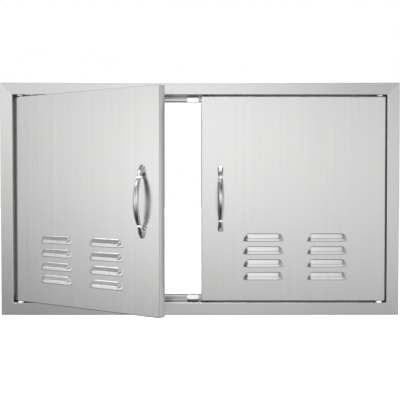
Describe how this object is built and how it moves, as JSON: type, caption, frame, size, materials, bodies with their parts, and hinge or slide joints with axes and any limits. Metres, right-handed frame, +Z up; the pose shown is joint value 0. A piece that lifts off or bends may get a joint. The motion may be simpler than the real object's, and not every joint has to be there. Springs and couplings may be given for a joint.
{
  "type": "double access door",
  "caption": "Built-in double access door for an outdoor kitchen island: mitred stainless frame, two hinged vented doors with arched pulls and magnetic catches.",
  "frame": {"origin": "centre of the clear opening, in the plane of the island's front, where the rim of the face frame sits", "axes": "+X right as seen from the front, +Y into the island, +Z up"},
  "size_m": [0.9144, 0.3029, 0.5334],
  "materials": {
    "frame_steel": "brushed along each member",
    "door_steel": "vertical brush",
    "liner_steel": "mill finish",
    "handle_chrome": "polished",
    "screw_steel": "bright",
    "zinc_steel": "zinc plated",
    "pin_steel": "turned",
    "spring_steel": "drawn wire",
    "nylon": "moulded",
    "catch_plastic": "moulded",
    "magnet_ferrite": "sintered"
  },
  "bodies": {
    "frame": {"frame_top_rail": "frame_steel", "frame_bottom_rail": "frame_steel", "frame_left_stile": "frame_steel", "frame_right_stile": "frame_steel", "pivot_bush_upper_left": "nylon", "pivot_bush_lower_left": "nylon", "thrust_washer_left": "nylon", "pivot_bush_upper_right": "nylon", "pivot_bush_lower_right": "nylon", "thrust_washer_right": "nylon", "catch_housing_top_left": "catch_plastic", "catch_yoke_top_left": "zinc_steel", "catch_magnet_top_left": "magnet_ferrite", "catch_housing_top_right": "catch_plastic", "catch_yoke_top_right": "zinc_steel", "catch_magnet_top_right": "magnet_ferrite", "catch_housing_bottom_left": "catch_plastic", "catch_yoke_bottom_left": "zinc_steel", "catch_magnet_bottom_left": "magnet_ferrite", "catch_housing_bottom_right": "catch_plastic", "catch_yoke_bottom_right": "zinc_steel", "catch_magnet_bottom_right": "magnet_ferrite", "catch_screws": "screw_steel"},
    "left_door": {"left_door_skin": "door_steel", "left_door_liner": "liner_steel", "left_handle": "handle_chrome", "left_handle_screws": "screw_steel", "left_handle_washers": "screw_steel", "left_upper_pin_bracket": "zinc_steel", "left_upper_pin_spring": "spring_steel", "left_lower_pin_bracket": "zinc_steel", "left_lower_hinge_pin": "pin_steel", "left_strike_plate_upper": "zinc_steel", "left_strike_plate_lower": "zinc_steel"},
    "right_door": {"right_door_skin": "door_steel", "right_door_liner": "liner_steel", "right_handle": "handle_chrome", "right_handle_screws": "screw_steel", "right_handle_washers": "screw_steel", "right_upper_pin_bracket": "zinc_steel", "right_upper_pin_spring": "spring_steel", "right_lower_pin_bracket": "zinc_steel", "right_lower_hinge_pin": "pin_steel", "right_strike_plate_upper": "zinc_steel", "right_strike_plate_lower": "zinc_steel"},
    "left_pull_pin": {"left_upper_hinge_pin": "pin_steel", "left_upper_pin_clip": "spring_steel"},
    "right_pull_pin": {"right_upper_hinge_pin": "pin_steel", "right_upper_pin_clip": "spring_steel"}
  },
  "joints": [
    {"name": "left_door_hinge", "type": "hinge", "parent": "frame", "child": "left_door", "pos_m": [-0.4127, -0.002, 0], "axis": [0, 0, -1], "range_deg": [-35, 80]},
    {"name": "right_door_hinge", "type": "hinge", "parent": "frame", "child": "right_door", "pos_m": [0.4127, -0.002, 0], "axis": [0, 0, 1], "range_deg": [0, 115]},
    {"name": "left_pull_pin_slide", "type": "slide", "parent": "left_door", "child": "left_pull_pin", "axis": [0, 0, 1], "range_m": [-0.009, 0], "stiffness_N_per_m": 400, "springref_m": 0.012, "deforming": ["left_upper_pin_spring"]},
    {"name": "right_pull_pin_slide", "type": "slide", "parent": "right_door", "child": "right_pull_pin", "axis": [0, 0, 1], "range_m": [-0.009, 0], "stiffness_N_per_m": 400, "springref_m": 0.012, "deforming": ["right_upper_pin_spring"]}
  ]
}
